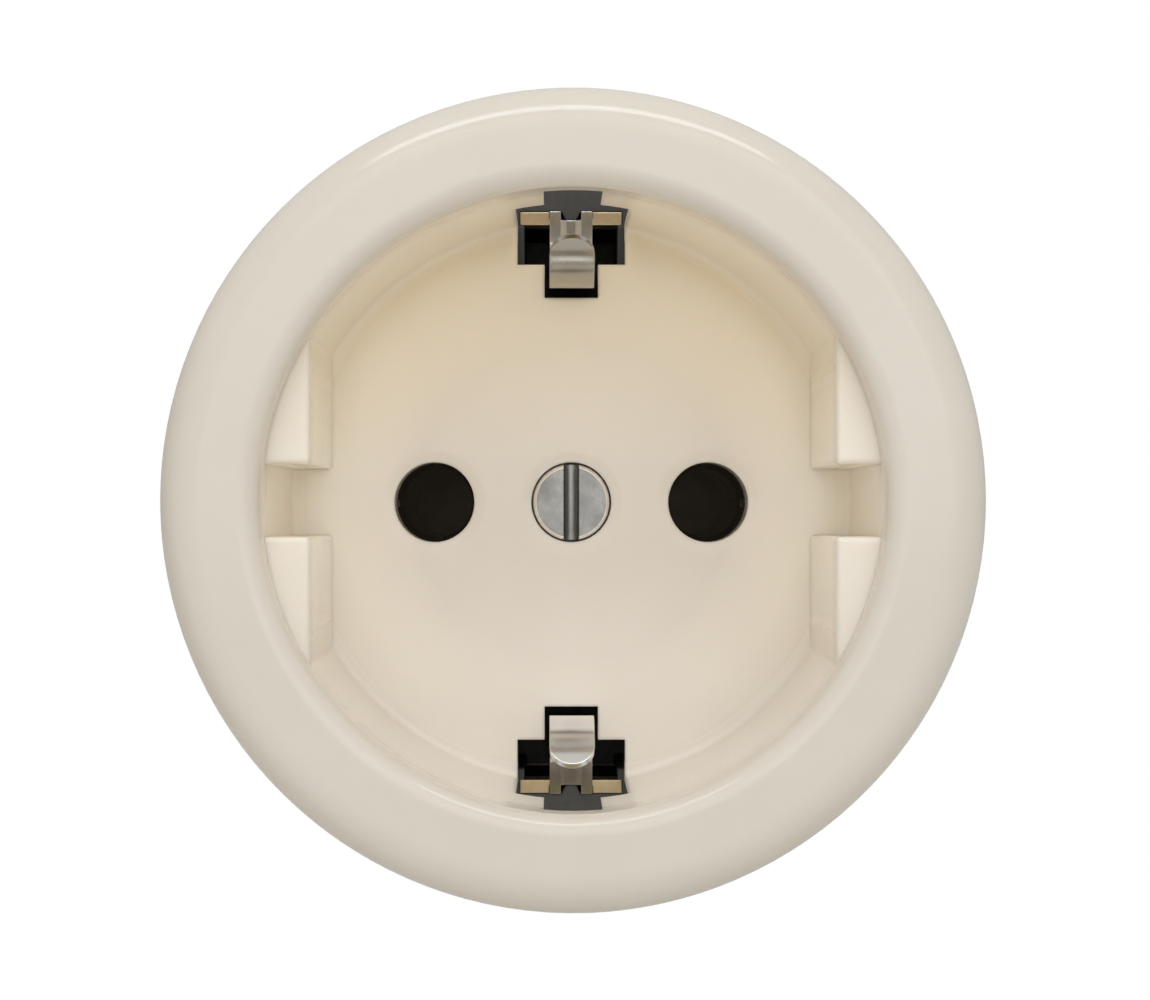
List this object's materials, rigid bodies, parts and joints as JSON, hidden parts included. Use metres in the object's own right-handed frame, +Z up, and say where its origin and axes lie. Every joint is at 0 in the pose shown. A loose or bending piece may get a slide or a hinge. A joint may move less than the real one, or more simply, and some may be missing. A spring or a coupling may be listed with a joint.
{
  "type": "retro schuko socket",
  "caption": "Round flush earthed socket outlet: deep glossy ivory cover with guide ribs, side earth springs, central screw, moulded base with pin contacts and a steel support ring.",
  "frame": {"origin": "centre of the support ring's rear face, which lies on the wall", "axes": "+Y into the wall, -Y towards the user, +Z up, +X to the right seen from the front"},
  "size_m": [0.052, 0.0437, 0.052],
  "materials": {
    "ivory_plastic": "glossy moulded",
    "grey_plastic": "matt moulded",
    "laminate": "laminated sheet",
    "passivated_steel": "yellow passivated",
    "plated_steel": "nickel plated",
    "plated_strip": "nickel plated",
    "brass": "drawn"
  },
  "bodies": {
    "root": {"cover": "ivory_plastic", "housing": "grey_plastic", "back_plate": "laminate", "support_ring": "passivated_steel", "cover_screw": "plated_steel", "center_bush": "brass", "earth_bridge": "brass", "earth_spring_top": "plated_strip", "earth_spring_bottom": "plated_strip", "earth_nut": "plated_steel", "earth_clamp": "plated_steel", "earth_screw": "plated_steel", "contact_left": "brass", "contact_right": "brass", "contact_ring_left": "plated_steel", "contact_ring_right": "plated_steel", "terminal_screw_left": "plated_steel", "terminal_screw_right": "plated_steel", "ring_screw_1": "plated_steel", "rivet_1": "brass", "ring_screw_2": "plated_steel", "rivet_2": "brass", "ring_screw_3": "plated_steel", "rivet_3": "brass", "ring_screw_4": "plated_steel", "rivet_4": "brass"}
  },
  "joints": []
}
